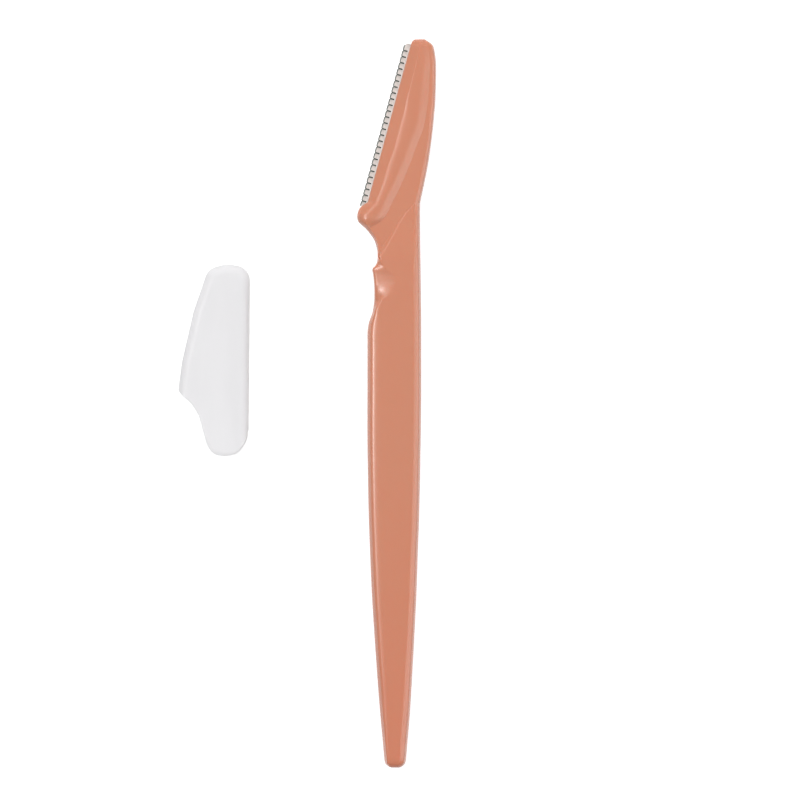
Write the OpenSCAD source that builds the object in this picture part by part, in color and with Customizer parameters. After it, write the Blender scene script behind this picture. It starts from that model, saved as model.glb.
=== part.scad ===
// Eyebrow razor with a moulded handle, a guarded blade and a slip-on cap, lying flat on its back.
// X runs across the handle, +Y from the tail to the tip, +Z away from the surface it lies on.
// The origin is on the grip's flat back face, on the grip's centreline.

/* [Grip] */
// Length of the grip from the origin down to the tail's end
tail_reach = 77; // [60:0.5:90]
// Length of the grip from the origin up to the start of the finger rest
grip_reach = 15.6; // [12:0.2:24]
// Widest width of the grip
grip_w = 11.4; // [10.4:0.1:12.4]
// Width of the grip at the tail's end
tail_w = 4.3; // [3.6:0.1:6]
// Distance that the tail's end lies off the centreline, toward the spine
tail_off = 0.19; // [0:0.01:0.4]
// Radius of the tail's rounded end
tail_r = 1.5; // [0.8:0.1:2]
// Thickness of the grip
grip_t = 4.6; // [4.4:0.1:4.7]
// Width of the bevel along the grip's left side
bevel_w = 1.2; // [0.8:0.05:1.5]
// Width of the bevel along the handle's right side
spine_bevel_w = 1.3; // [0.8:0.05:1.6]

/* [Finger rest] */
// Length of the finger rest, from the grip up to its stop
rest_l = 12.7; // [10:0.1:16]
// Depth that the finger rest is drawn in from the grip's side
rest_d = 1.45; // [0.6:0.05:1.8]
// Width of the dish that is pressed into the finger rest's edge
dish_w = 2.6; // [1.6:0.1:3.2]

/* [Neck] */
// Length of the neck, from the finger rest's stop to the blade's heel
neck_l = 13.65; // [12:0.05:18]
// Width of the neck at its narrowest place
neck_w = 9.1; // [8.4:0.1:10]

/* [Head] */
// Length of the head from the blade's heel to the tip
head_l = 35.05; // [34.8:0.05:42]
// Lean of the cutting edge from the handle's line, in degrees
head_tilt = 15.35; // [12:0.05:17]
// Distance across the head at the heel, from the edge to the spine
heel_w = 12.62; // [12:0.02:14]
// Distance that the heel's knob stands out beyond the edge
knob_out = 0.7; // [0.4:0.05:1.2]
// Distance that the spine swings out between the heel and the tip
spine_swing = 3.43; // [3:0.01:3.8]
// Distance that the spine is drawn in at the heel from the grip's side
spine_in = 0.27; // [0:0.01:0.6]
// Thickness across the two raised bosses that hold the blade
boss_t = 4.4; // [3.8:0.1:4.4]
// Thickness of the thin web beside the bosses
web_t = 3.2; // [2.6:0.1:3.6]
// Thickness across the two lips where the blade comes out
lip_t = 1.9; // [1.4:0.1:2.2]
// Height of the metal that shows beyond the lips
reveal = 1.35; // [1.1:0.05:1.6]
// Distance from the cutting edge's line to the boss's ridge at its widest
ridge_w = 4; // [3.4:0.1:4.4]
// Distance from the spine to the boss's foot at the knob
foot_w = 8.4; // [7.6:0.1:9]
// Width of the boss's flank, from its top down to its foot
flank_w = 2.1; // [1:0.1:2.6]

/* [Blade] */
// Thickness of the blade
blade_t = 0.2; // [0.15:0.01:0.3]
// Width of the blade from its edge to its back
blade_w = 4.7; // [4:0.1:5.2]
// Width of the ground bevel behind the edge
grind_w = 0.8; // [0.5:0.05:1]
// Length of the cutting edge that shows between the knob and the tip
show_l = 34.9; // [31:0.1:35]
// Length of metal that each end is buried in the plastic
buried_l = 0.7; // [0.4:0.05:0.9]
// Size of the corners cut off the metal's ends
corner_cut = 0.6; // [0.3:0.05:0.8]
// Diameter of the anchor holes that the plastic flows through
anchor_d = 1.6; // [1.2:0.1:1.8]
// Distance between neighbouring anchor holes
anchor_pitch = 11; // [8:0.5:12]

/* [Guard] */
// Thickness of the guard's sheet
sheet_t = 0.1; // [0.06:0.01:0.15]
// Distance between neighbouring slots
slot_pitch = 1.32; // [1.1:0.01:1.6]
// Width of each slot
slot_w = 0.3; // [0.2:0.01:0.5]
// Depth of each slot from the fold
slot_d = 1.05; // [0.8:0.05:1.1]
// Distance from the fold's inside to the cutting edge
edge_gap = 0.1; // [0.05:0.01:0.2]
// Length by which the guard's legs stop short of the blade's back
leg_short = 0.5; // [0.2:0.1:0.8]

/* [Cap] */
// Length of the cap
cap_l = 40.5; // [38:0.1:46]
// Widest width of the cap
cap_w = 15.14; // [14.4:0.02:17]
// Wall thickness of the cap
cap_wall = 0.7; // [0.5:0.05:0.9]
// Clearance between the cap's flat walls and the bosses
cap_fit = 0.2; // [0.15:0.05:0.4]
// Radius of the cap's rounded edges
cap_edge_r = 1.9; // [1.2:0.1:2.4]
// Distance of the cap's middle from the handle's line, to the left
cap_off_x = 38.1; // [24:0.1:60]
// Distance of the cap's middle from the origin, toward the tip
cap_off_y = 9.1; // [-40:0.1:40]

/* [Hidden] */
$fn = 48;

// Running allowance between the metal and the plastic moulded round it
mould_gap = 0.02;
// Least distance between neighbouring lines of the handle's skin
line_gap = 0.16;
// Overrun of every cut beyond the face it opens
over = 1;

// Heights along the handle, measured from the origin
tail_y = -tail_reach;
rest_y = grip_reach;
stop_y = rest_y + rest_l;
heel_y = stop_y + neck_l;
tip_y = heel_y + head_l;

// Places across the handle, and half thicknesses about its mid-plane
side_x = grip_w / 2;
spine_x = side_x - spine_in;
neck_x = side_x - spine_in / 2 - neck_w;
heel_x = spine_x - heel_w;
knob_x = heel_x - knob_out;
face_h = grip_t / 2;
boss_h = boss_t / 2;
web_h = web_t / 2;
lip_h = lip_t / 2;

// Smooth curve through the points [height, value] of a table, which never overshoots them
function rise(p, i) = (p[i + 1][1] - p[i][1]) / (p[i + 1][0] - p[i][0]);
function slope(p, i) =
    i == 0 ? rise(p, 0)
    : i == len(p) - 1 ? rise(p, i - 1)
    : rise(p, i - 1) * rise(p, i) <= 0 ? 0
    : 2 * rise(p, i - 1) * rise(p, i) / (rise(p, i - 1) + rise(p, i));
function step_of(p, at, i = 0) =
    i >= len(p) - 2 || at < p[i + 1][0] ? i : step_of(p, at, i + 1);
function hermite(p, i, k, h) =
    p[i][1] * (1 + 2 * k) * pow(1 - k, 2) + slope(p, i) * h * k * pow(1 - k, 2)
    + p[i + 1][1] * k * k * (3 - 2 * k) + slope(p, i + 1) * h * k * k * (k - 1);
function curve(p, at) =
    at <= p[0][0] ? p[0][1]
    : at >= p[len(p) - 1][0] ? p[len(p) - 1][1]
    : let (i = step_of(p, at), h = p[i + 1][0] - p[i][0]) hermite(p, i, (at - p[i][0]) / h, h);

// Tables of [share of a stretch's length, share of a span], set out on the stretches of the handle
function spread(shares, y0, l, v0, v) = [for (s = shares) [y0 + s[0] * l, v0 + s[1] * v]];
function on_grip(shares, v0, v) = spread(shares, tail_y, rest_y - tail_y, v0, v);
function on_rest(shares, v0, v) = spread(shares, rest_y, rest_l, v0, v);
function on_neck(shares, v0, v) = spread(shares, stop_y, neck_l, v0, v);
function on_head(shares, v0, v) = spread(shares, heel_y, head_l, v0, v);

// Place of the cutting edge's line, and of the plastic lip beside it
function edge_x(y) = heel_x + (y - heel_y) * tan(head_tilt);
function lip_x(y) = edge_x(y) + reveal / cos(head_tilt);

// Tail's rounded end, as shares of its length and of the full size
round_shares = [[0, 0.5], [0.08, 0.62], [0.2, 0.74], [0.4, 0.87], [0.65, 0.96], [1, 1]];
function rounded(y) = curve(spread(round_shares, tail_y, tail_r, 0, 1), y);

// Tip's rounded end, as shares of the head's length and of the full thickness
tip_shares = [[0.93, 1], [0.97, 0.94], [0.99, 0.82], [1, 0.62]];
tip_l = (1 - tip_shares[0][0]) * head_l;
function ended(y) = y < 0 ? rounded(y) : curve(on_head(tip_shares, 0, 1), y);

// Outline: the grip widens from the tail, the rest is drawn in, the knob stands out, the spine swings
grip_shares = [
    [0, 0], [0.04, 0.09], [0.13, 0.295], [0.22, 0.455], [0.31, 0.6], [0.4, 0.73], [0.5, 0.83],
    [0.59, 0.91], [0.68, 0.957], [0.77, 0.99], [0.86, 1], [0.99, 1],
];
rest_shares = [
    [0.1, 0.17], [0.19, 0.43], [0.29, 0.74], [0.39, 0.89], [0.5, 0.99], [0.6, 1], [0.7, 0.985],
    [0.8, 0.93], [0.89, 0.84], [0.96, 0.74], [0.99, 0.69],
];
neck_shares = [
    [0.02, 0.24], [0.06, 0.125], [0.11, 0.045], [0.19, 0.004], [0.27, 0.006], [0.365, 0.065],
    [0.457, 0.165], [0.55, 0.36], [0.643, 0.605], [0.69, 0.78], [0.736, 0.93], [0.78, 0.985],
    [0.83, 1], [0.89, 0.965], [0.94, 0.9], [0.965, 0.84], [0.985, 0.78], [1, 0.71],
];
spine_shares = [
    [0, 0], [0.04, 0.065], [0.115, 0.23], [0.187, 0.385], [0.258, 0.52], [0.33, 0.63],
    [0.404, 0.73], [0.478, 0.815], [0.55, 0.885], [0.62, 0.945], [0.695, 0.975], [0.766, 0.993],
    [0.84, 1], [0.886, 0.97], [0.923, 0.915], [0.95, 0.86], [0.971, 0.73], [0.985, 0.51],
    [1, 0.25],
];
// Tip's left shoulder: share of the head's length, share of the way from the lip to the tip's middle
shoulder_shares = [[0.96, 0], [0.975, 0.01], [0.984, 0.07], [0.993, 0.23], [1, 0.52]];
tip_share = 0.03;
tip_x = spine_x + tip_share * spine_swing;
lip_y = heel_y + reveal / 2;
grip_side = on_grip(grip_shares, tail_w / 2, side_x - tail_w / 2);
left_side = concat(
    [for (p = grip_side) [p[0], -p[1]]],
    on_rest(rest_shares, -side_x, rest_d),
    on_neck(neck_shares, neck_x, knob_x - neck_x),
    [for (y = [lip_y, lip_y + reveal, heel_y + neck_l]) [y, lip_x(y)]],
    [for (p = on_head(shoulder_shares, 0, 1)) [p[0], lip_x(p[0]) + p[1] * (tip_x - lip_x(p[0]))]]
);
right_side = concat(
    grip_side,
    [[stop_y, side_x - spine_in / 2], [heel_y - neck_l / 6, spine_x]],
    on_head(spine_shares, spine_x, spine_swing)
);
// Sway of the grip's middle: share of its length from the tail, share of the tail's offset
sway_shares = [[0, 1], [0.13, 0.75], [0.22, 0.35], [0.33, 0], [0.5, -0.45], [0.7, -0.4], [0.87, 0]];
function sway(y) = curve(on_grip(sway_shares, 0, tail_off), y);
function left_x(y) = sway(y) + curve(left_side, y) * (y < 0 ? rounded(y) : 1);
function right_x(y) = sway(y) + curve(right_side, y) * (y < 0 ? rounded(y) : 1);
function gap_at(y) = min(line_gap, (right_x(y) - left_x(y)) / 24);

// Ridge line: the bevel's inner edge on the grip, the dish's in the rest, the boss's on the head
bevel_shares = [[0, 0.5], [0.25, 0.85], [0.7, 1], [1, 0.95]];
narrow_shares = [[0.12, 0.88], [0.24, 0.56], [0.32, 0.4], [0.42, 0.68]];
dish_shares = [[0.54, 0.62], [0.7, 1], [0.86, 0.66], [0.97, 0.2]];
collar_shares = [[0.04, 0.36], [0.2, 0.3], [0.45, 0.4], [0.64, 0.7], [0.75, 1], [0.85, 1.2]];
ridge_shares = [
    [-0.05, 0.36], [0.017, 0.73], [0.12, 0.865], [0.255, 0.91], [0.37, 0.99], [0.54, 1],
    [0.64, 0.94], [0.75, 0.93], [0.85, 0.9], [0.97, 0.83],
];
// Most that the ridge line lies inside the left side, as a share of the handle's width there
ridge_most_share = 0.45;
side_ridge = concat(
    on_grip(bevel_shares, 0, bevel_w),
    on_rest(narrow_shares, 0, bevel_w),
    on_rest(dish_shares, 0, dish_w),
    on_neck(collar_shares, 0, bevel_w)
);
head_ridge = on_head(ridge_shares, 0, ridge_w);
function ridge_x(y) = min(
    left_x(y) + (right_x(y) - left_x(y)) * ridge_most_share,
    y < head_ridge[0][0] ? left_x(y) + curve(side_ridge, y) * ended(y) : edge_x(y) + curve(head_ridge, y)
);

// Foot of the boss: share of the head's length, share of its distance from the spine at the knob
foot_shares = [
    [-0.14, 1.35], [-0.12, 1.17], [-0.093, 1], [-0.02, 0.81], [0.086, 0.66], [0.22, 0.53],
    [0.357, 0.41], [0.48, 0.265], [0.643, 0.196], [0.864, 0.155], [0.97, 0.14],
];
// Step from the web up to the grip's face: share of the neck's length, share across the neck
step_shares = [
    [0.17, 0], [0.36, 0.24], [0.52, 0.39], [0.71, 0.565], [0.88, 0.73], [0.96, 0.86], [1.03, 1],
];
// Width of the right bevel on the head, as a share of its width on the grip
spine_share = 0.55;
// Width of the step, as a share of its height
step_slope_share = 0.8;
step_w = (face_h - web_h) * step_slope_share;
spine_bevel = [[stop_y, spine_bevel_w], [heel_y + neck_l, spine_bevel_w * spine_share]];
function within(low, x, high) = min(max(low, x), high);
function crease_x(y) =
    right_x(y) - min((right_x(y) - left_x(y)) / 4, curve(spine_bevel, y) * ended(y));
function foot_x(y) = within(
    ridge_x(y) + 2 * gap_at(y),
    right_x(y) - curve(on_head(foot_shares, 0, foot_w), y),
    crease_x(y) - 3 * gap_at(y)
);
function shoulder_x(y) = max(ridge_x(y) + gap_at(y), foot_x(y) - flank_w);
function step_x(y) = within(
    foot_x(y) + gap_at(y),
    curve(on_neck(step_shares, neck_x, spine_x - neck_x), y),
    crease_x(y) - 2 * gap_at(y)
);
function step_top_x(y) = within(step_x(y) + gap_at(y), step_x(y) + step_w, crease_x(y) - gap_at(y));

// Half thickness along each line: the shares say where on a stretch each level begins and ends
function level(shares, y0, l, h) = [for (s = shares) [y0 + s * l, h]];
web_start_shares = [0.1, 0.22];
knob_rise_shares = [0.64, 0.84];
boss_rise_share = 0.14;
step_end_shares = [-0.06, 0.06];
rest_side_shares = [[0, 0.4], [0.4, 0.4], [0.7, 0.55], [0.95, 0.5]];
// Height of the handle's sides below the bevels, as a share of the height above the mid-plane
side_share = 0.55;
knob_h = (boss_h + web_h) / 2;
face_end = level([0, web_start_shares[0]], stop_y, neck_l, face_h);
web_begin = level([web_start_shares[1]], stop_y, neck_l, web_h);
boss_rise = concat(
    level([knob_rise_shares[0]], stop_y, neck_l, web_h),
    level([knob_rise_shares[1]], stop_y, neck_l, knob_h),
    level([boss_rise_share], heel_y, head_l, boss_h)
);
left_high = concat(
    on_rest(rest_side_shares, 0, face_h),
    level(knob_rise_shares, stop_y, neck_l, web_h * side_share),
    [[lip_y, lip_h]]
);
boss_high = concat(face_end, web_begin, boss_rise);
foot_high = concat(face_end, web_begin);
face_high = concat(
    level([step_end_shares[0]], heel_y, head_l, face_h),
    level([step_end_shares[1]], heel_y, head_l, web_h)
);
// Distance that the handle's sides bulge between the bevels, except at the lips
bulge_w = bevel_w / 6;
function bulge(y) = bulge_w * ended(y);

// Upper half of the handle's section, from the left side to the right, about the mid-plane
function upper(y) = [
    [left_x(y), 0],
    [left_x(y) + (y < heel_y ? bulge(y) : 0), curve(left_high, y) * ended(y)],
    [ridge_x(y), curve(boss_high, y) * ended(y)],
    [shoulder_x(y), curve(boss_high, y) * ended(y)],
    [foot_x(y), curve(foot_high, y) * ended(y)],
    [step_x(y), curve(foot_high, y) * ended(y)],
    [step_top_x(y), curve(face_high, y) * ended(y)],
    [crease_x(y), curve(face_high, y) * ended(y)],
    [right_x(y) - bulge(y), curve(face_high, y) * side_share * ended(y)],
    [right_x(y), 0],
];
function ring(y) =
    let (u = upper(y), n = len(u))
    concat(
        [for (p = u) [p[0], y, face_h + p[1]]],
        [for (i = [n - 2 : -1 : 1]) [u[i][0], y, face_h - u[i][1]]]
    );

// Heights at which the handle's sections are taken, closer together where the shape turns
function stretch(a, b, n) = [for (i = [0 : n - 1]) a + (b - a) * i / n];
stations = concat(
    [for (s = round_shares) tail_y + s[0] * tail_r],
    stretch(tail_y + 2 * tail_r, rest_y, 18),
    stretch(rest_y, stop_y, 24),
    stretch(stop_y, heel_y, 26),
    stretch(heel_y, heel_y + neck_l, 16),
    stretch(heel_y + neck_l, tip_y - tip_l, 16),
    stretch(tip_y - tip_l, tip_y, 8),
    [tip_y]
);

// Closed skin over rings of points that all have the same count, with a fan of faces over each end
function middle(ring) = [for (p = ring) 1 / len(ring)] * ring;
module skin(rings) {
    n = len(rings[0]);
    m = len(rings);
    polyhedron(
        points = concat([for (r = rings) each r], [middle(rings[0]), middle(rings[m - 1])]),
        faces = concat(
            [for (j = [0 : n - 1]) [m * n, j, (j + 1) % n]],
            [for (j = [0 : n - 1]) [m * n + 1, (m - 1) * n + (j + 1) % n, (m - 1) * n + j]],
            [for (i = [0 : m - 2], j = [0 : n - 1])
                let (k = (j + 1) % n) each [
                    [i * n + j, (i + 1) * n + j, (i + 1) * n + k],
                    [i * n + j, (i + 1) * n + k, i * n + k],
                ]]
        )
    );
}

// Blade's own frame: X points from the guard's fold into the head, Y along it from the heel to the tip
module at_blade() {
    translate([heel_x, heel_y, face_h]) rotate([0, 0, -head_tilt]) children();
}

// Places across the metal, measured from the guard's fold
guard_t = blade_t + 2 * (mould_gap + sheet_t);
metal_l = show_l + 2 * buried_l;
blade_in = sheet_t + edge_gap;
back_in = blade_in + blade_w;
leg_in = back_in - leg_short;
anchor_in = (reveal + leg_in) / 2;

// Upright columns at the anchor holes
module anchors(d) {
    for (i = [-1 : 1])
        translate([anchor_in, show_l / 2 + i * anchor_pitch, 0]) cylinder(d = d, h = grip_t, center = true);
}

// Corners to cut off the two ends of a strip of metal, as upright four-sided columns
module corners(cut) {
    for (y = [-buried_l, show_l + buried_l])
        translate([0, y, 0]) cylinder(r = cut, h = grip_t, center = true, $fn = 4);
}

// Bar along the blade, from its section drawn with X into the head
module along_blade() {
    translate([0, metal_l - buried_l, 0]) rotate([90, 0, 0]) linear_extrude(metal_l) children();
}

// Room that the plastic leaves for a flat strip of metal
module pocket(depth, t) {
    translate([-over, -buried_l - mould_gap, -t / 2 - mould_gap])
        cube([over + depth + mould_gap, metal_l + 2 * mould_gap, t + 2 * mould_gap]);
}

module handle() color("#D08E74") difference() {
    skin([for (y = stations) ring(y)]);
    at_blade() difference() {
        union() {
            pocket(leg_in, guard_t);
            pocket(back_in, blade_t);
        }
        anchors(anchor_d - 2 * mould_gap);
        corners(corner_cut - 2 * mould_gap);
    }
}

module blade() color("silver") at_blade() difference() {
    along_blade() polygon([
        [blade_in, 0],
        [blade_in + grind_w, blade_t / 2],
        [back_in, blade_t / 2],
        [back_in, -blade_t / 2],
        [blade_in + grind_w, -blade_t / 2],
    ]);
    anchors(anchor_d);
    corners(corner_cut);
}

// Guard's section: a strip folded round the cutting edge, with a leg on each side
module fold() {
    fold_r = guard_t / 2;
    difference() {
        union() {
            translate([fold_r, 0]) circle(fold_r);
            translate([fold_r, -fold_r]) square([leg_in - fold_r, guard_t]);
        }
        translate([fold_r, 0]) circle(fold_r - sheet_t);
        translate([fold_r, sheet_t - fold_r]) square([leg_in + over, guard_t - 2 * sheet_t]);
    }
}

module guard() color("gainsboro") at_blade() difference() {
    slots = 1 + floor((show_l - 2 * slot_w) / slot_pitch);
    along_blade() fold();
    for (i = [0 : slots - 1])
        translate([-over, show_l / 2 + (i - (slots - 1) / 2) * slot_pitch - slot_w / 2, -guard_t])
            cube([over + slot_d, slot_w, 2 * guard_t]);
    anchors(anchor_d);
    corners(corner_cut);
}

// Thickness of the cap over both faces
cap_t = boss_t + 2 * (cap_fit + cap_wall);

// Discs that the cap's body spans: shares of the half width and half length, radius of the half width
cap_disc_shares = [
    [0.383, 0.773, 0.608],
    [0.585, 0.833, 0.416],
    [0.165, 0.823, 0.422],
    [-0.105, 0.463, 0.48],
    [-0.4, -0.05, 0.5],
    [-0.6, -0.62, 0.5],
    [-0.66, -1.2, 0.5],
    [0.55, -1.2, 0.4],
];

// Disc with rounded rims, all its faces drawn in by the same distance
module rimmed_disc(r, inset) {
    rim = cap_edge_r - inset;
    half = cap_t / 2 - inset;
    steps = 4;
    quarter = [for (i = [0 : steps]) rim * [sin(i * 90 / steps), 1 - cos(i * 90 / steps)]];
    rotate_extrude($fn = 32) polygon(concat(
        [[0, -half]],
        [for (q = quarter) [r - inset - rim + q[0], q[1] - half]],
        [for (i = [steps : -1 : 0]) [r - inset - rim + quarter[i][0], half - quarter[i][1]]],
        [[0, half]]
    ));
}

module cap_body(inset) {
    hull() for (c = cap_disc_shares)
        translate([c[0] * cap_w / 2, c[1] * cap_l / 2, 0]) rimmed_disc(c[2] * cap_w / 2, inset);
}

// Mouth's line, cut slantwise across the cap: shares of the half width and of the half length
mouth_shares = [
    [-1.3, -0.289], [-1.003, -0.289], [-0.98, -0.32], [-0.835, -0.385], [-0.64, -0.447],
    [-0.525, -0.51], [-0.43, -0.573], [-0.37, -0.635], [-0.31, -0.73], [-0.262, -0.79],
    [-0.215, -0.854], [-0.137, -0.918], [-0.03, -0.965], [0.12, -0.992], [0.305, -1],
    [0.44, -0.994], [0.576, -0.98], [0.7, -0.945], [0.79, -0.905], [0.875, -0.854],
    [0.925, -0.8], [0.947, -0.73], [1.3, -0.7],
];

module cap() color("#EDECEE") translate([-cap_off_x, cap_off_y, cap_t / 2]) intersection() {
    difference() {
        cap_body(0);
        cap_body(cap_wall);
    }
    translate([0, 0, -cap_t]) linear_extrude(2 * cap_t) polygon(concat(
        [for (m = mouth_shares) [m[0] * cap_w / 2, m[1] * cap_l / 2]],
        [[cap_w, cap_l], [-cap_w, cap_l]]
    ));
}

handle();
blade();
guard();
cap();
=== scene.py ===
"""Eyebrow razor: a moulded handle that holds a guarded blade, with its frosted cap lying beside it."""

import math

import bmesh
import bpy
import numpy as np
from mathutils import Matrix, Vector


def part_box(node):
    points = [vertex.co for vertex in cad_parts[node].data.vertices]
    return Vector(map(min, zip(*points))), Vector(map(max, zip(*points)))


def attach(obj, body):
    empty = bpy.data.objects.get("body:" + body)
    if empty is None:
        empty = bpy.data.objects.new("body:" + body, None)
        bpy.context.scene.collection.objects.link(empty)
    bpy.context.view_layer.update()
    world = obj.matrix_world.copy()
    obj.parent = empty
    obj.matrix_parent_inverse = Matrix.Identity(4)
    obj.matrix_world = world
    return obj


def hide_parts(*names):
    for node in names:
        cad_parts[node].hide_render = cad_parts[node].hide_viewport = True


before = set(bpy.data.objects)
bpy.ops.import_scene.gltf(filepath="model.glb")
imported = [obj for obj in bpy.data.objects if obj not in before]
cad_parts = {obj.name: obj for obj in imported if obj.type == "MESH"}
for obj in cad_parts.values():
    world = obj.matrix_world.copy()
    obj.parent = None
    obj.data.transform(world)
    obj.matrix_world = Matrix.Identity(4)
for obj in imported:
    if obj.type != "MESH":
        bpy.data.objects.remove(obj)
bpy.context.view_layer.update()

MM = 0.001

# Driving sizes of the handle, in millimetres, along it from the origin and across it
tail_reach = -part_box("handle")[0].y / MM
grip_reach = 15.6
rest_l = 12.7
neck_l = 13.65
tip_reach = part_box("handle")[1].y / MM
grip_w = 11.4
tail_w = 4.3
tail_off = 0.19
tail_r = 1.5
rest_d = 1.45
neck_w = 9.1
heel_w = 12.62
knob_out = 0.7
spine_swing = 3.43
spine_in = 0.27
head_tilt = math.radians(15.35)
reveal = 1.35

# Thicknesses of the handle, in millimetres
grip_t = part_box("handle")[1].z / MM
boss_t = 4.4
web_t = 3.2
lip_t = 1.9

# Widths of its bevels and dish, of the boss from the edge to its ridge and to its foot, and of the
# flank that falls off to that foot, in millimetres. Two lines that meet stay line_gap apart
bevel_w = 1.2
spine_bevel_w = 1.3
dish_w = 2.6
ridge_w = 4.0
foot_w = 8.4
flank_w = 1.55
line_gap = 0.05

# Places that follow from them
stop_y = grip_reach + rest_l
heel_y = stop_y + neck_l
head_l = tip_reach - heel_y
side_x = grip_w / 2
spine_x = side_x - spine_in
neck_x = side_x - spine_in / 2 - neck_w
heel_x = spine_x - heel_w
knob_x = heel_x - knob_out
face_h = grip_t / 2
boss_h = boss_t / 2
web_h = web_t / 2
lip_h = lip_t / 2


def curve(points, at):
    """Monotone cubic through (place, value) points: harmonic mean slopes, so it never overshoots."""
    places, values = np.array(points, float).T
    rise = np.diff(values) / np.diff(places)
    same_way = rise[:-1] * rise[1:] > 0
    inner = np.where(same_way, 2 * rise[:-1] * rise[1:] / np.where(same_way, rise[:-1] + rise[1:], 1), 0)
    slope = np.concatenate([rise[:1], inner, rise[-1:]])
    at = np.clip(at, places[0], places[-1])
    i = np.clip(np.searchsorted(places, at, side="right") - 1, 0, len(places) - 2)
    h = places[i + 1] - places[i]
    k = (at - places[i]) / h
    start = values[i] * (1 + 2 * k) * (1 - k) ** 2 + slope[i] * h * k * (1 - k) ** 2
    return start + values[i + 1] * k * k * (3 - 2 * k) + slope[i + 1] * h * k * k * (k - 1)


def spread(shares, y0, length, v0, span):
    """Table of shares set out on a stretch: places from y0 over length, values from v0 over span."""
    return [(y0 + s[0] * length, v0 + s[1] * span) for s in shares]


def on_grip(shares, v0, span):
    """The same on the grip, from the tail."""
    return spread(shares, -tail_reach, grip_reach + tail_reach, v0, span)


def on_rest(shares, v0, span):
    """The same on the finger rest, from the grip's end."""
    return spread(shares, grip_reach, rest_l, v0, span)


def on_neck(shares, v0, span):
    """The same on the neck, from the rest's end."""
    return spread(shares, stop_y, neck_l, v0, span)


def on_head(shares, v0, span):
    """The same on the head, from the blade's heel to the tip."""
    return spread(shares, heel_y, head_l, v0, span)


def edge_x(y):
    """Place of the tilted cutting edge across the razor."""
    return heel_x + (y - heel_y) * math.tan(head_tilt)


def lip_x(y):
    """Place of the plastic's lip, which lets the edge show by the reveal."""
    return edge_x(y) + reveal / math.cos(head_tilt)


# Roundings of the two ends: shares of the tail's rounding or of the head's length, and of the full size
tail_round_shares = [(0, 0.5), (0.08, 0.62), (0.2, 0.74), (0.4, 0.87), (0.65, 0.96), (1, 1)]
tip_round_shares = [(0.955, 1), (0.97, 0.93), (0.985, 0.79), (0.995, 0.58), (1, 0.36)]

# Outline: the grip widens from the tail, the rest is drawn in, the knob stands out, the spine swings
grip_shares = [
    (0, 0), (0.04, 0.09), (0.13, 0.295), (0.22, 0.455), (0.31, 0.6), (0.4, 0.73), (0.5, 0.83),
    (0.59, 0.91), (0.68, 0.957), (0.77, 0.99), (0.86, 1), (0.99, 1),
]
rest_shares = [
    (0.1, 0.17), (0.19, 0.43), (0.29, 0.74), (0.39, 0.89), (0.5, 0.99), (0.6, 1), (0.7, 0.985),
    (0.8, 0.93), (0.89, 0.84), (0.96, 0.74), (0.99, 0.69),
]
neck_shares = [
    (0.02, 0.24), (0.06, 0.125), (0.11, 0.045), (0.19, 0.004), (0.27, 0.006), (0.365, 0.065),
    (0.457, 0.165), (0.55, 0.36), (0.643, 0.605), (0.69, 0.78), (0.736, 0.93), (0.78, 0.985),
    (0.83, 1), (0.89, 0.965), (0.94, 0.9), (0.965, 0.84), (0.985, 0.78), (1, 0.71),
]
spine_shares = [
    (0, 0), (0.04, 0.065), (0.115, 0.23), (0.187, 0.385), (0.258, 0.52), (0.33, 0.63),
    (0.404, 0.73), (0.478, 0.815), (0.55, 0.885), (0.62, 0.945), (0.695, 0.975), (0.766, 0.993),
    (0.84, 1), (0.886, 0.97), (0.923, 0.915), (0.95, 0.86), (0.971, 0.74), (0.985, 0.55), (1, 0.32),
]
shoulder_shares = [(0.96, 0), (0.975, 0.005), (0.984, 0.03), (0.993, 0.12), (1, 0.32)]
tip_share = 0.03
sway_shares = [(0, 1), (0.13, 0.75), (0.22, 0.35), (0.33, 0), (0.5, -0.45), (0.7, -0.4), (0.87, 0)]
tip_x = spine_x + tip_share * spine_swing
lip_y = heel_y + reveal / 2

grip_side = on_grip(grip_shares, tail_w / 2, side_x - tail_w / 2)
left_side = (
    [(y, -x) for y, x in grip_side]
    + on_rest(rest_shares, -side_x, rest_d)
    + on_neck(neck_shares, neck_x, knob_x - neck_x)
    + [(y, lip_x(y)) for y in (lip_y, lip_y + reveal, heel_y + neck_l)]
    + [(y, lip_x(y) + share * (tip_x - lip_x(y))) for y, share in on_head(shoulder_shares, 0, 1)]
)
right_side = (
    grip_side
    + [(stop_y, side_x - spine_in / 2), (heel_y - neck_l / 6, spine_x)]
    + on_head(spine_shares, spine_x, spine_swing)
)

# Lines along the handle, as shares (along, across): the ridge follows the bevel, narrows, rounds the
# dish and the collar and runs up the boss; the foot is the boss's far side; the step crosses the neck
bevel_shares = [(0, 0.45), (0.2, 0.7), (0.7, 0.72), (1, 0.74)]
narrow_shares = [(0.12, 0.7), (0.2, 0.58), (0.28, 0.45), (0.35, 0.52), (0.43, 0.92)]
dish_shares = [(0.5, 0.6), (0.56, 0.76), (0.63, 0.95), (0.72, 1.25), (0.8, 1.5), (0.9, 1.4), (0.97, 1.1)]
collar_shares = [
    (0.04, 1.7), (0.1, 0.9), (0.15, 0.35), (0.2, 0.1), (0.28, 0.15), (0.45, 0.4), (0.64, 0.75), (0.75, 1),
    (0.85, 1.2),
]
ridge_shares = [
    (-0.05, 0.36), (0.017, 0.76), (0.12, 0.93), (0.255, 0.99), (0.37, 1.07), (0.54, 1.06),
    (0.64, 0.96), (0.75, 0.93), (0.85, 0.9), (0.97, 0.83),
]
foot_shares = [
    (-0.14, 1.3), (-0.12, 1.12), (-0.093, 0.95), (-0.02, 0.76), (0.086, 0.61), (0.22, 0.48),
    (0.357, 0.355), (0.48, 0.23), (0.643, 0.185), (0.864, 0.155), (0.97, 0.14),
]
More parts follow.
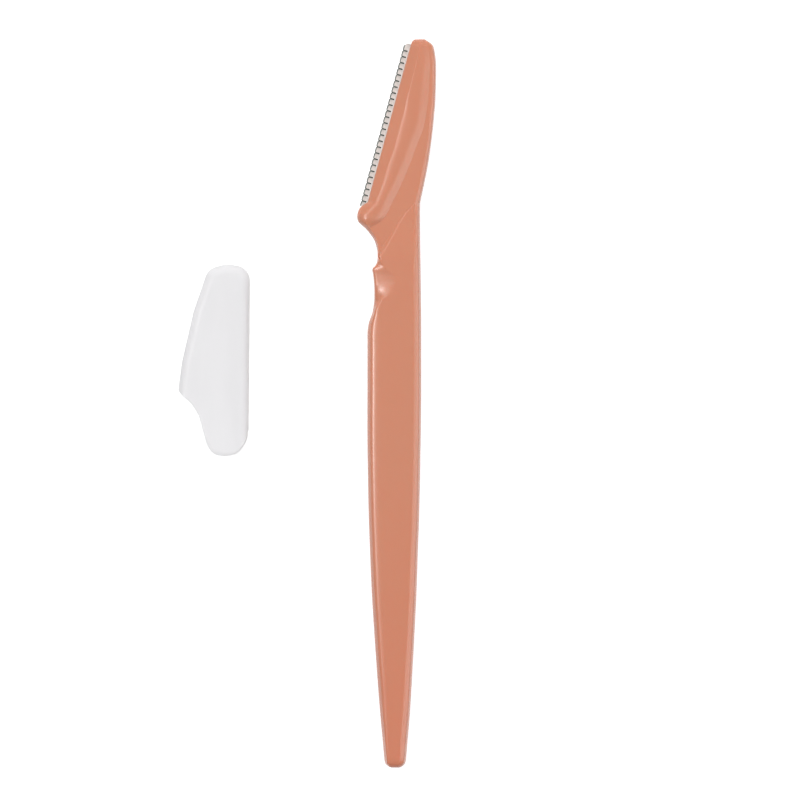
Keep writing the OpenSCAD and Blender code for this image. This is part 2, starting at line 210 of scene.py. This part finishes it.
step_shares = [
    (0.17, 0.01), (0.36, 0.215), (0.52, 0.35), (0.71, 0.51), (0.88, 0.675), (0.96, 0.78), (1.1, 1),
]
ridge_most_share = 0.45
spine_share = 0.55
step_slope_share = 1.7
side_share = 0.55
nose_share = 0.34
nose_high_share = 0.77
bulge_w = bevel_w / 6
side_ridge = (
    on_grip(bevel_shares, 0, bevel_w)
    + on_rest(narrow_shares, 0, bevel_w)
    + on_rest(dish_shares, 0, dish_w)
    + on_neck(collar_shares, 0, bevel_w)
)
head_ridge = on_head(ridge_shares, 0, ridge_w)
spine_bevel = [(stop_y, spine_bevel_w), (heel_y + neck_l, spine_bevel_w * spine_share)]

# Half thickness along those lines, as (place, height) where each level begins or ends
left_high = (
    on_rest([(0, 0.4), (0.45, 0.45), (0.55, 0.57), (0.63, 0.65), (0.75, 0.74), (1, 0.78)], 0, face_h)
    + on_neck([(0.1, 1.15), (0.2, 0.7), (0.4, side_share), (0.7, side_share), (0.85, 0.72)], 0, web_h)
    + [(lip_y, lip_h)]
)
level_high = on_neck([(0, face_h), (0.14, face_h), (0.19, web_h)], 0, 1)
near_tip_high = on_head([(0.68, web_h), (0.95, (web_h + boss_h) / 2)], 0, 1)
foot_high = level_high + near_tip_high
boss_high = level_high + on_neck([(0.58, web_h), (0.8, boss_h), (0.95, boss_h)], 0, 1)
face_high = on_neck([(0.2, face_h)], 0, 1) + on_head([(0.06, web_h)], 0, 1) + near_tip_high

# Reach of the rounding before and after each of the section's corners, from the left side to the
# right. The ridge's own two change along the handle: sharp toward the bevel, soft toward the face
reaches_before = [0.03, 0.3, 0, 1.5, 0.04, 0.05, 0.04, 0.24, 0.5, 0.4, 0.03]
reaches_after = [0.03, 0.7, 0, 1.3, 0.03, 0.3, 0.03, 0.42, 0.5, 0.4, 0.03]
ridge_before = (
    on_grip([(0, 0.3), (0.2, 0.55), (1, 0.55)], 0, 1)
    + on_rest([(0.3, 0.4), (0.5, 0.2), (0.57, 1.2), (0.64, 2.4), (0.7, 3), (0.95, 3.6)], 0, 1)
    + on_neck([(0.1, 1), (0.2, 0.3), (0.5, 0.4), (0.7, 0.8), (0.84, 1.3), (0.95, 1.3)], 0, 1)
    + on_head([(0.05, 0.55), (0.5, 0.55), (0.62, 0.3), (0.72, 0.06), (0.9, 0.04)], 0, 1)
)
ridge_after = (
    on_grip([(0, 0.8), (0.2, 2.3), (1, 2.3)], 0, 1)
    + on_rest([(0.3, 0.9), (0.5, 0.5), (0.57, 1.6), (0.64, 2.6), (0.7, 3), (0.95, 4)], 0, 1)
    + on_neck([(0.1, 1), (0.2, 0.3), (0.5, 0.4), (0.7, 0.8), (0.84, 1.4), (0.95, 1.4)], 0, 1)
    + on_head([(0.05, 1.9), (0.5, 1.9), (0.62, 0.8), (0.72, 0.2), (0.9, 0.1)], 0, 1)
)

# Up to spread_before ahead of the neck the five corners between ridge and spine bevel lie spread out on
# the flat face, and from set_after into the neck on they have their own places. In millimetres
spread_before = 1.5
set_after = 0.8
spread_out = [(stop_y - spread_before, 1), (stop_y + set_after, 0)]
even_shares = [0.45, 0.55, 0.62, 0.7, 0.8]


def handle_corners(y):
    """Section's upper half at each place y along the handle: its corners' places across and heights, and
    the reach of their roundings before and after, 11 of each. From the left the corners are the side's
    two, the ridge, the boss's shoulder and foot, the web, the step's foot and top, the spine bevel's two
    and the right side."""
    narrowed = curve(spread(tail_round_shares, -tail_reach, tail_r, 0, 1), y)
    ended = np.where(y < 0, narrowed, curve(on_head(tip_round_shares, 0, 1), y))
    sway = curve(on_grip(sway_shares, 0, tail_off), y)
    left = sway + curve(left_side, y) * narrowed
    right = sway + curve(right_side, y) * narrowed
    width = right - left
    gap = np.minimum(line_gap, width / 24)
    bulge = bulge_w * ended
    on_side = left + curve(side_ridge, y) * ended
    on_boss = edge_x(y) + curve(head_ridge, y)
    ridge = np.minimum(left + width * ridge_most_share, np.where(y < head_ridge[0][0], on_side, on_boss))
    crease = right - np.minimum(width / 4, curve(spine_bevel, y) * ended)
    foot = right - curve(on_head(foot_shares, 0, foot_w), y)
    foot = np.minimum(np.maximum(foot, ridge + 2 * gap), crease - 4 * gap)
    shoulder = np.maximum(ridge + gap, foot - flank_w)
    web = foot + gap
    side, boss, low, face = (curve(t, y) for t in (left_high, boss_high, foot_high, face_high))
    step_top = curve(on_neck(step_shares, neck_x, spine_x - neck_x), y)
    step = step_top - (face - low) * step_slope_share
    step = np.minimum(np.maximum(step, web + gap), crease - 2 * gap)
    step_top = np.minimum(np.maximum(step_top, step + gap), crease - gap)
    below = np.where(y < heel_y, bulge, 0)
    nose = (right - crease) * nose_share
    across = np.stack([
        left, left + below, ridge, shoulder, foot, web, step, step_top, crease, right - nose, right,
    ], 1)
    evenly_set = ridge[:, None] + (crease - ridge)[:, None] * np.array(even_shares)
    across[:, 3:8] += (evenly_set - across[:, 3:8]) * curve(spread_out, y)[:, None]
    flat = np.zeros_like(y)
    heights = [flat, side, boss, boss, low, low, low, face, face, face * nose_high_share, flat]
    before, after = np.array(reaches_before) + flat[:, None], np.array(reaches_after) + flat[:, None]
    before[:, 2], after[:, 2] = curve(ridge_before, y), curve(ridge_after, y)
    return across, np.stack(heights, 1) * ended[:, None], before, after


# Points of each rounded corner and of each straight stretch, and the share of a side that the two
# roundings at its ends may take
arc_shares = np.linspace(0, 1, 7)
flat_shares = np.array([0.05, 0.5, 0.95])
most_rounded = 0.94


def rounded_rings(across, heights, before, after):
    """Closed rings round sections: each corner is a parabola that starts its reach before the corner and
    ends its reach after it, and straight stretches join them. Where two reaches don't fit on a side,
    both are shortened by one factor. The lower half mirrors the upper one."""
    corners = np.stack([
        np.concatenate([across, across[:, -2:0:-1]], 1),
        np.concatenate([heights, -heights[:, -2:0:-1]], 1),
    ], 2)
    before, after = (
        np.concatenate([before, after[:, -2:0:-1]], 1),
        np.concatenate([after, before[:, -2:0:-1]], 1),
    )
    to_next = np.roll(corners, -1, 1) - corners
    length = np.linalg.norm(to_next, axis=2)
    fit = np.minimum(1, most_rounded * length / (after + np.roll(before, -1, 1)))
    way = to_next / length[..., None]
    start = corners - np.roll(way, 1, 1) * (before * np.roll(fit, 1, 1))[..., None]
    end = corners + way * (after * fit)[..., None]
    t = arc_shares[:, None]
    arcs = (
        (1 - t) ** 2 * start[:, :, None]
        + 2 * t * (1 - t) * corners[:, :, None]
        + t ** 2 * end[:, :, None]
    )
    f = flat_shares[:, None]
    flats = end[:, :, None] * (1 - f) + np.roll(start, -1, 1)[:, :, None] * f
    rings = np.concatenate([arcs, flats], 2)
    return rings.reshape(len(across), -1, 2)


def make_mesh(name, points, faces, smooth=True):
    """One object from points in millimetres and lists of corners."""
    mesh = bpy.data.meshes.new(name)
    mesh.from_pydata((np.asarray(points) * MM).tolist(), [], faces)
    mesh.polygons.foreach_set("use_smooth", np.full(len(mesh.polygons), smooth))
    mesh.update()
    piece = bpy.data.objects.new(name, mesh)
    bpy.context.scene.collection.objects.link(piece)
    return piece


def face_outwards(piece):
    """The same piece with points that fall together merged and its faces turned outwards."""
    together = 0.002 * MM
    shell = bmesh.new()
    shell.from_mesh(piece.data)
    bmesh.ops.remove_doubles(shell, verts=shell.verts, dist=together)
    bmesh.ops.recalc_face_normals(shell, faces=shell.faces)
    shell.to_mesh(piece.data)
    shell.free()
    return piece


def round_edges(piece, name, radius):
    """Small rounding, of a radius in millimetres, on the piece's sharp edges."""
    rounding = piece.modifiers.new(name, "BEVEL")
    rounding.width = radius * MM
    rounding.segments = 2
    rounding.limit_method = "ANGLE"
    rounding.angle_limit = math.radians(50)


def grid_faces(rows, columns, round_about=False):
    """Corners of the quads of a grid whose points run along each row first."""
    across = columns if round_about else columns - 1
    i = np.arange(rows - 1)[:, None] * columns
    j = np.arange(across)[None, :]
    k = (j + 1) % columns
    quads = np.stack([i + j, i + k, i + columns + k, i + columns + j], 2)
    return quads.reshape(-1, 4)


def make_handle():
    """The moulding: rounded sections set out along Y about the mid-plane, closed by a fan at each end.
    The sections stand closer together where the shape changes quickly."""
    tail_end = -tail_reach + tail_r
    rest_start = grip_reach - 2
    knob_end = heel_y + neck_l / 4
    tip_start = heel_y + tip_round_shares[0][0] * head_l
    stretches = [
        (-tail_reach, tail_end, 20),
        (tail_end, rest_start, 70),
        (rest_start, knob_end, 240),
        (knob_end, tip_start, 120),
        (tip_start, tip_reach, 30),
    ]
    y = np.concatenate([np.linspace(a, b, n, endpoint=False) for a, b, n in stretches] + [[tip_reach]])
    rings = rounded_rings(*handle_corners(y))
    rows, columns = rings.shape[:2]
    points = np.stack([rings[..., 0], np.repeat(y[:, None], columns, 1), rings[..., 1] + face_h], 2)
    ends = points[[0, -1]].mean(1)
    faces = grid_faces(rows, columns, round_about=True).tolist()
    j = np.arange(columns)
    k = (j + 1) % columns
    tail, tip = rows * columns, rows * columns + 1
    last = (rows - 1) * columns
    faces += np.stack([np.full(columns, tail), k, j], 1).tolist()
    faces += np.stack([np.full(columns, tip), last + j, last + k], 1).tolist()
    return make_mesh("handle_moulding", np.concatenate([points.reshape(-1, 3), ends]), faces)


# The blade and the sheet folded round it, in millimetres: the legs' reach into the head is taken from
# the fold's outside, and the edge lies edge_gap inside the sheet
blade_w = 4.7
blade_t = 0.2
grind_w = 0.8
show_l = 34.9
buried_l = 0.7
corner_cut = 0.6
sheet_t = 0.06
edge_gap = 0.01
slot_pitch = 1.32
slot_w = 0.3
slot_d = 1.05
guard_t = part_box("guard")[1].z / MM * 2 - grip_t
leg_in = 4.4


def on_blade(n, s, up):
    """Points from places across the metal into the head, along its edge from the heel, and upwards."""
    x = heel_x + n * math.cos(head_tilt) + s * math.sin(head_tilt)
    y = heel_y + s * math.cos(head_tilt) - n * math.sin(head_tilt)
    return np.stack([x, y, np.broadcast_to(up, s.shape) + face_h], -1).reshape(-1, 3)


def make_blade():
    """Flat strip ground from both faces to one edge: a seven-sided section at each end, joined by quads.
    The two corners beside the edge are cut off, so each end is a slant and a square part."""
    edge_in = sheet_t + edge_gap
    across = np.array([edge_in, corner_cut, edge_in + grind_w])
    up = np.minimum(1, (across - edge_in) / grind_w) * blade_t / 2
    back = edge_in + blade_w
    n = np.concatenate([across, [back, back], across[:0:-1]])
    z = np.concatenate([up, [blade_t / 2, -blade_t / 2], -up[:0:-1]])
    cut = np.maximum(0, corner_cut - n)
    s = np.stack([cut - buried_l, show_l + buried_l - cut])
    columns = len(n)
    faces = grid_faces(2, columns, round_about=True).tolist()
    for first in (0, columns):
        faces.append([first, first + 1, first + columns - 1])
        faces.append(list(range(first + 1, first + columns)))
    return face_outwards(make_mesh("ground_blade", on_blade(n, s, z), faces, smooth=False))


def make_guard():
    """Folded sheet: a grid of places along the edge by places round the fold, with the slots' cells left
    out, then given its thickness inwards and small rounded edges."""
    fold_r = guard_t / 2
    fold_steps = 12
    past_slot = 0.5
    slots = 1 + math.floor((show_l - 2 * slot_w) / slot_pitch)
    centres = show_l / 2 + (np.arange(slots) - (slots - 1) / 2) * slot_pitch
    sides = np.stack([centres - slot_w / 2, centres + slot_w / 2], 1).ravel()
    along = np.concatenate([[-buried_l], sides, [show_l + buried_l]])
    between_slots = (along[:-1] + along[1:])[::2] / 2
    along = np.sort(np.concatenate([along, between_slots]))
    turn = np.linspace(math.pi / 2, 3 * math.pi / 2, fold_steps + 1)
    legs = np.array([leg_in, slot_d + past_slot, slot_d, slot_d / 2])
    into = np.concatenate([legs, fold_r + fold_r * np.cos(turn), legs[::-1]])
    up = np.concatenate([legs * 0 + fold_r, fold_r * np.sin(turn), legs * 0 - fold_r])
    s, n = np.meshgrid(along, into, indexing="ij")
    cut = np.maximum(0, corner_cut - n)
    s = np.clip(s, -buried_l + cut, show_l + buried_l - cut)
    faces = grid_faces(len(along), len(into))
    middle_s = (along[:-1] + along[1:]) / 2
    in_slot = np.abs(middle_s[:, None] - centres[None, :]).min(1) < slot_w / 2
    on_edge = (into[:-1] + into[1:]) / 2 < slot_d
    kept = ~(in_slot[:, None] & on_edge[None, :]).ravel()
    guard = make_mesh("slotted_guard", on_blade(n, s, up), faces[kept].tolist())
    wall = guard.modifiers.new("sheet", "SOLIDIFY")
    wall.thickness = sheet_t * MM
    wall.offset = -1
    round_edges(guard, "rolled edges", sheet_t / 4)
    return guard


# The cap, in millimetres: its length and width, where its middle lies, its wall, the roundings of its
# outer edge and of its mouth's rim, and its thickness, which comes from the frame
cap_l = 40.5
cap_w = 15.14
cap_middle = np.array([-38.1, 9.1])
cap_wall = 0.7
cap_edge_r = 1.9
cap_rim_r = 0.12
cap_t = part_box("cap")[1].z / MM

# In shares of its half width and half length from its middle: the discs whose hull is its outline,
# as (across, along, radius), and the line of its mouth, as (across, along)
cap_disc_shares = np.array([
    (0.383, 0.773, 0.608), (0.585, 0.833, 0.416), (0.165, 0.823, 0.422), (-0.105, 0.463, 0.48),
    (-0.4, -0.05, 0.5), (-0.6, -0.62, 0.5), (-0.66, -1.2, 0.5), (0.55, -1.2, 0.4),
])
mouth_shares = [
    (-1.3, -0.289), (-1.003, -0.289), (-0.98, -0.32), (-0.835, -0.385), (-0.64, -0.447), (-0.525, -0.51),
    (-0.43, -0.573), (-0.37, -0.635), (-0.31, -0.73), (-0.262, -0.79), (-0.215, -0.854),
    (-0.137, -0.918), (-0.03, -0.965), (0.12, -0.992), (0.305, -1), (0.44, -0.994), (0.576, -0.98),
    (0.7, -0.945), (0.79, -0.905), (0.875, -0.854), (0.925, -0.8), (0.947, -0.73), (1.3, -0.7),
]
cap_half = np.array([cap_w, cap_l]) / 2
cap_centres = cap_disc_shares[:, :2] * cap_half
cap_radii = cap_disc_shares[:, 2] * cap_half[0]

# How finely the cap is drawn: directions round its plan, points of a line before it is thinned, and
# columns and rows of each skin
cap_directions = 721
fine_count = 4000
cap_columns = 200
cap_rows = 56
cap_turn = np.radians(np.linspace(-90, 270, cap_directions))
cap_normals = np.stack([np.cos(cap_turn), np.sin(cap_turn)], 1)


def lengths_along(points):
    """Length of a polyline up to each of its points."""
    return np.concatenate([[0], np.cumsum(np.linalg.norm(np.diff(points, axis=0), axis=1))])


def evenly(points, count, start=0.0, end=1.0):
    """Points at even lengths along a polyline, from one share of its length to another."""
    far = lengths_along(points)
    at = np.linspace(start, end, count) * far[-1]
    return np.stack([np.interp(at, far, points[:, i]) for i in (0, 1)], 1)


def cap_plan(inset):
    """Plan of the hull of the cap's discs drawn in by inset: how far it reaches along each normal, and
    its outline, whose point with a normal is that of the disc that reaches farthest along it."""
    reach = cap_centres @ cap_normals.T + (cap_radii - inset)[:, None]
    farthest = reach.argmax(0)
    outline = cap_centres[farthest] + (cap_radii[farthest] - inset)[:, None] * cap_normals
    return reach.max(0), evenly(outline, fine_count)


def cap_sheet(inset):
    """Skin of the cap drawn in by inset, as a grid of places from the mouth's front line over the edge to
    its back line, by places along the mouth.

    In plan each face is ruled from the mouth's line to the outline, closer together toward the outline.
    Its height falls off as a quarter circle within the edge's radius, and a straight side joins the two."""
    reach, outline = cap_plan(inset)
    mouth = np.array(mouth_shares) * cap_half
    far = lengths_along(mouth)
    at = np.linspace(0, far[-1], fine_count)
    mouth = np.stack([curve(np.stack([far, mouth[:, i]], 1), at) for i in (0, 1)], 1)
    mouth = mouth[(reach - mouth @ cap_normals.T).min(1) > 0]
    start, end = (np.linalg.norm(outline - mouth[i], axis=1).argmin() / len(outline) for i in (0, -1))
    near = evenly(mouth, cap_columns)
    rim = evenly(outline, cap_columns, start, end)
    near[[0, -1]] = rim[[0, -1]]
    share = 1 - (1 - np.linspace(0, 1, cap_rows)[:, None, None]) ** 2
    plan = near + (rim - near) * share
    inside = np.maximum(0, (reach - plan @ cap_normals.T).min(2))
    inside[-1] = 0
    inside[:, [0, -1]] = 0
    radius = cap_edge_r - inset
    straight = cap_t / 2 - cap_edge_r
    height = straight + np.sqrt(radius ** 2 - (radius - np.minimum(inside, radius)) ** 2)
    front = np.concatenate([plan, height[..., None]], 2)
    back = front[::-1] * (1, 1, -1)
    side = np.stack([front[-1] * (1, 1, s) for s in (0.5, 0, -0.5)])
    return np.concatenate([front, side, back])


def make_cap():
    """Hollow sheath: an outer skin, an inner one drawn in by the wall and turned round, and the mouth's
    rim between their borders. Points that fall together at the mouth's two ends are merged."""
    outer, inner = cap_sheet(0), cap_sheet(cap_wall)
    rows, columns = outer.shape[:2]
    count = rows * columns
    skin = grid_faces(rows, columns)
    ring = np.concatenate([
        np.arange(columns),
        np.arange(1, rows) * columns + columns - 1,
        count - 2 - np.arange(columns - 1),
        np.arange(rows - 2, 0, -1) * columns,
    ])
    following = np.roll(ring, -1)
    rim = np.stack([ring, ring + count, following + count, following], 1)
    points = np.concatenate([outer, inner]).reshape(-1, 3) + (*cap_middle, cap_t / 2)
    faces = np.concatenate([skin, skin[:, ::-1] + count, rim])
    cap = face_outwards(make_mesh("slip_on_cap", points, faces.tolist()))
    round_edges(cap, "rounded rim", cap_rim_r)
    return cap


def linear(hex_colour):
    """Linear colour of an sRGB hex value."""
    value = np.array([int(hex_colour[i:i + 2], 16) for i in (1, 3, 5)]) / 255
    low = value <= 0.04045
    return (*np.where(low, value / 12.92, ((value + 0.055) / 1.055) ** 2.4).tolist(), 1)


def add_node(tree, kind, values=None, **settings):
    """One node with its settings; a value that is another node's socket is linked, others are set."""
    made = tree.nodes.new(kind)
    for name, value in settings.items():
        setattr(made, name, value)
    for socket, value in (values or {}).items():
        if isinstance(value, bpy.types.NodeSocket):
            tree.links.new(value, made.inputs[socket])
        else:
            made.inputs[socket].default_value = value
    return made


def new_material(name):
    """An empty material, its node tree, and its output node."""
    material = bpy.data.materials.new(name)
    material.use_nodes = True
    material.node_tree.nodes.clear()
    return material, material.node_tree, material.node_tree.nodes.new("ShaderNodeOutputMaterial")


# Sockets of a Mix node that mixes colours
first_colour, second_colour = 6, 7
mixed_colour = 2


def grain(tree, size_mm, stretch=(1, 1, 1), turn=0.0, span=None):
    """Noise whose features are about size_mm across, drawn out by stretch after a turn about Z. Where a
    span is given, the noise's usual 0.3 to 0.7 is spread over it."""
    place = add_node(tree, "ShaderNodeTexCoord")
    mapping = add_node(tree, "ShaderNodeMapping", {
        "Vector": place.outputs["Object"],
        "Rotation": (0, 0, turn),
        "Scale": [1 / (size_mm * MM * s) for s in stretch],
    })
    noise = add_node(tree, "ShaderNodeTexNoise", {
        "Vector": mapping.outputs["Vector"],
        "Scale": 1.0,
        "Detail": 2.0,
        "Roughness": 0.5,
    })
    if span is None:
        return noise.outputs["Fac"]
    spread_noise = add_node(tree, "ShaderNodeMapRange", {
        "Value": noise.outputs["Fac"],
        "From Min": 0.3,
        "From Max": 0.7,
        "To Min": span[0],
        "To Max": span[1],
    })
    return spread_noise.outputs["Result"]


def salmon_plastic():
    """Injection moulded ABS: an even body colour with faint flow clouds, a little deeper toward the tail,
    a soft gloss from a polished mould, and the slight waviness that such a skin shows in its
    highlights."""
    material, tree, output = new_material("salmon_moulded_plastic")
    deepens_from = -10
    bump = add_node(tree, "ShaderNodeBump", {
        "Height": grain(tree, 2.5),
        "Strength": 0.25,
        "Distance": 0.02 * MM,
    })
    place = add_node(tree, "ShaderNodeTexCoord")
    along = add_node(tree, "ShaderNodeSeparateXYZ", {"Vector": place.outputs["Object"]})
    toward_tail = add_node(tree, "ShaderNodeMapRange", {
        "Value": along.outputs["Y"],
        "From Min": deepens_from * MM,
        "From Max": -tail_reach * MM,
    })
    depth = add_node(tree, "ShaderNodeMath", {
        0: toward_tail.outputs["Result"],
        1: grain(tree, 14, (1, 3, 1), span=(-0.12, 0.12)),
    }, operation="ADD", use_clamp=True)
    body_colour = add_node(tree, "ShaderNodeMix", {
        "Factor": depth.outputs[0],
        first_colour: linear("#CB8466"),
        second_colour: linear("#CF7F60"),
    }, data_type="RGBA")
    skin = add_node(tree, "ShaderNodeBsdfPrincipled", {
        "Base Color": body_colour.outputs[mixed_colour],
        "Roughness": grain(tree, 3, span=(0.24, 0.26)),
        "IOR": 1.53,
        "Subsurface Weight": 0.3,
        "Subsurface Radius": (1, 0.35, 0.2),
        "Subsurface Scale": 1.2 * MM,
        "Normal": bump.outputs["Normal"],
    })
    tree.links.new(skin.outputs["BSDF"], output.inputs["Surface"])
    return material


def satin_steel():
    """Thin stainless strip, brushed along its length: pale, with fine streaks that run with the edge, and
    with a painted shade on the tight fold, where the sheet turns away. Real streaks are too fine to show,
    so these are coarser."""
    material, tree, output = new_material("satin_stainless_sheet")
    streaks = {"size_mm": 0.08, "stretch": (1, 30, 1), "turn": head_tilt}
    bump = add_node(tree, "ShaderNodeBump", {
        "Height": grain(tree, **streaks),
        "Strength": 0.3,
        "Distance": 0.003 * MM,
    })
    place = add_node(tree, "ShaderNodeTexCoord")
    from_fold = add_node(tree, "ShaderNodeVectorMath", {
        0: place.outputs["Object"],
        1: (math.cos(head_tilt), -math.sin(head_tilt), 0),
    }, operation="DOT_PRODUCT")
    # Painted shade: a dark grey band over the fold's outside stands for the shade where the sheet turns
    # away, fading into the sheet's own colour on the leg
    fold_at = heel_x * math.cos(head_tilt) - heel_y * math.sin(head_tilt)
    painted_shade_to, pale_from = fold_at + 0.15, fold_at + 0.32
    on_leg = add_node(tree, "ShaderNodeMapRange", {
        "Value": from_fold.outputs["Value"],
        "From Min": painted_shade_to * MM,
        "From Max": pale_from * MM,
    })
    sheet_colour = add_node(tree, "ShaderNodeMix", {
        "Factor": grain(tree, **streaks, span=(0, 1)),
        first_colour: linear("#B4ABA6"),
        second_colour: linear("#C4BBB6"),
    }, data_type="RGBA")
    # Painted shade colour on the fold, mixed into the brushed sheet colour
    colour = add_node(tree, "ShaderNodeMix", {
        "Factor": on_leg.outputs["Result"],
        first_colour: linear("#636763"),
        second_colour: sheet_colour.outputs[mixed_colour],
    }, data_type="RGBA")
    metal = add_node(tree, "ShaderNodeBsdfPrincipled", {
        "Base Color": colour.outputs[mixed_colour],
        "Metallic": 1.0,
        "Roughness": grain(tree, **streaks, span=(0.34, 0.44)),
        "Normal": bump.outputs["Normal"],
    })
    tree.links.new(metal.outputs["BSDF"], output.inputs["Surface"])
    return material


def ground_steel():
    """Ground blade steel: smoother than the guard, with grinding lines across the edge. Its colour is a
    painted shade, nearly black, for the shade it lies in behind the slots. Real lines are too fine to show,
    so these are coarser."""
    material, tree, output = new_material("ground_blade_steel")
    lines = {"size_mm": 0.05, "stretch": (20, 1, 1), "turn": head_tilt}
    # Painted shade: the steel's colours are set nearly black to stand for the shade behind the slots
    colour = add_node(tree, "ShaderNodeMix", {
        "Factor": grain(tree, **lines, span=(0, 1)),
        first_colour: linear("#333633"),
        second_colour: linear("#414441"),
    }, data_type="RGBA")
    metal = add_node(tree, "ShaderNodeBsdfPrincipled", {
        "Base Color": colour.outputs[mixed_colour],
        "Metallic": 1.0,
        "Roughness": grain(tree, **lines, span=(0.1, 0.16)),
    })
    tree.links.new(metal.outputs["BSDF"], output.inputs["Surface"])
    return material


def frosted_plastic():
    """Thin moulded polypropylene: milky white, satin, and clear enough that what lies under it shows
    through softly."""
    material, tree, output = new_material("frosted_white_plastic")
    bump = add_node(tree, "ShaderNodeBump", {
        "Height": grain(tree, 1.5),
        "Strength": 0.2,
        "Distance": 0.02 * MM,
    })
    colour = add_node(tree, "ShaderNodeMix", {
        "Factor": grain(tree, 5, (1, 5, 1), span=(0, 1)),
        first_colour: linear("#EDECEE"),
        second_colour: linear("#F1F0F2"),
    }, data_type="RGBA")
    skin = add_node(tree, "ShaderNodeBsdfPrincipled", {
        "Base Color": colour.outputs[mixed_colour],
        "Roughness": grain(tree, 3, span=(0.42, 0.5)),
        "IOR": 1.49,
        "Transmission Weight": 0.1,
        "Subsurface Weight": 0.4,
        "Subsurface Radius": (1, 1, 1),
        "Subsurface Scale": 1.5 * MM,
        "Normal": bump.outputs["Normal"],
    })
    tree.links.new(skin.outputs["BSDF"], output.inputs["Surface"])
    return material


def dress(piece, material):
    """Give the piece its one material."""
    piece.data.materials.clear()
    piece.data.materials.append(material)


handle = make_handle()
dress(handle, salmon_plastic())
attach(handle, "razor")
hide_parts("handle")

guard = make_guard()
dress(guard, satin_steel())
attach(guard, "razor")
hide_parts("guard")

blade = make_blade()
dress(blade, ground_steel())
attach(blade, "razor")
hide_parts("blade")

cap = make_cap()
dress(cap, frosted_plastic())
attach(cap, "cap")
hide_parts("cap")


def make_stage():
    """White floor that shows to the camera and in reflections as plain white but keeps soft shadows."""
    reach = 2000
    floor_z = -0.05
    glow_strength = 0.75
    tone = 0.6
    corners = [(x * reach, y * reach, floor_z) for x, y in ((-1, -1), (1, -1), (1, 1), (-1, 1))]
    floor = make_mesh("floor", corners, [(0, 1, 2, 3)], smooth=False)
    material, tree, output = new_material("white_floor")
    path = add_node(tree, "ShaderNodeLightPath")
    camera_or_glossy = add_node(tree, "ShaderNodeMath", {
        0: path.outputs["Is Camera Ray"],
        1: path.outputs["Is Glossy Ray"],
    }, operation="ADD")
    seen = add_node(tree, "ShaderNodeMath", {
        0: camera_or_glossy.outputs[0],
        1: path.outputs["Is Transmission Ray"],
    }, operation="ADD", use_clamp=True)
    lift = add_node(tree, "ShaderNodeMath", {0: seen.outputs[0], 1: glow_strength}, operation="MULTIPLY")
    glow = add_node(tree, "ShaderNodeEmission", {"Strength": lift.outputs[0]})
    matt = add_node(tree, "ShaderNodeBsdfDiffuse", {"Color": (tone, tone, tone, 1)})
    both = add_node(tree, "ShaderNodeAddShader", {0: glow.outputs[0], 1: matt.outputs[0]})
    tree.links.new(both.outputs[0], output.inputs["Surface"])
    dress(floor, material)


def make_world():
    """Even white surroundings: full white to the camera and in reflections, softer as light."""
    as_light = 0.16
    world = bpy.data.worlds.new("studio")
    bpy.context.scene.world = world
    world.use_nodes = True
    tree = world.node_tree
    tree.nodes.clear()
    path = add_node(tree, "ShaderNodeLightPath")
    strength = add_node(tree, "ShaderNodeMapRange", {
        "Value": path.outputs["Is Diffuse Ray"],
        "To Min": 1.0,
        "To Max": as_light,
    })
    sky = add_node(tree, "ShaderNodeBackground", {
        "Color": (1, 1, 1, 1),
        "Strength": strength.outputs["Result"],
    })
    output = add_node(tree, "ShaderNodeOutputWorld")
    tree.links.new(sky.outputs[0], output.inputs["Surface"])


def softbox(name, watts, tilt, heading, distance, size, along=0.0, in_gloss=True):
    """Rectangular lamp of a width and length in metres. It stands tilt degrees off the vertical, on the
    side that is heading degrees round from +X, faces the razor, and is moved along its own length."""
    lamp = bpy.data.lights.new(name, "AREA")
    lamp.shape = "RECTANGLE"
    lamp.size, lamp.size_y = size
    lamp.energy = watts
    holder = bpy.data.objects.new(name, lamp)
    bpy.context.scene.collection.objects.link(holder)
    t, h = math.radians(tilt), math.radians(heading)
    out = distance * math.sin(t)
    holder.location = (
        out * math.cos(h) + along * math.sin(h),
        out * math.sin(h) - along * math.cos(h),
        distance * math.cos(t),
    )
    holder.rotation_euler = (0, t, h)
    holder.visible_glossy = in_gloss


def make_camera():
    """Long lens straight above the picture's middle, as far off as lets the picture span its width."""
    picture_px = 800
    pixel_mm = 0.21154
    middle_x, middle_y = 1.21, 0.7
    lens_mm = 300
    sensor_mm = 36
    span_mm = picture_px * pixel_mm
    camera = bpy.data.cameras.new("camera")
    camera.lens = lens_mm
    camera.sensor_width = sensor_mm
    camera.clip_end = 10
    holder = bpy.data.objects.new("camera", camera)
    bpy.context.scene.collection.objects.link(holder)
    away_mm = face_h + span_mm * lens_mm / sensor_mm
    holder.location = (middle_x * MM, middle_y * MM, away_mm * MM)
    bpy.context.scene.camera = holder


make_stage()
make_world()
softbox("left strip light", 1.32, tilt=28, heading=180, distance=0.9, size=(0.08, 0.1), along=0.03)
softbox("left fill light", 1.9, tilt=45, heading=180, distance=0.9, size=(0.4, 0.4), in_gloss=False)
softbox("left softbox", 1.3, tilt=23, heading=180, distance=0.95, size=(0.35, 0.5), along=0.23)
softbox("right softbox", 1.42, tilt=36, heading=-17, distance=0.9, size=(0.46, 0.46))
softbox("low right panel", 2.4, tilt=70, heading=-4, distance=0.9, size=(0.6, 0.5))
softbox("fill light", 4, tilt=60, heading=90, distance=0.9, size=(0.5, 0.5), in_gloss=False)
make_camera()
bpy.context.scene.view_settings.view_transform = "Standard"
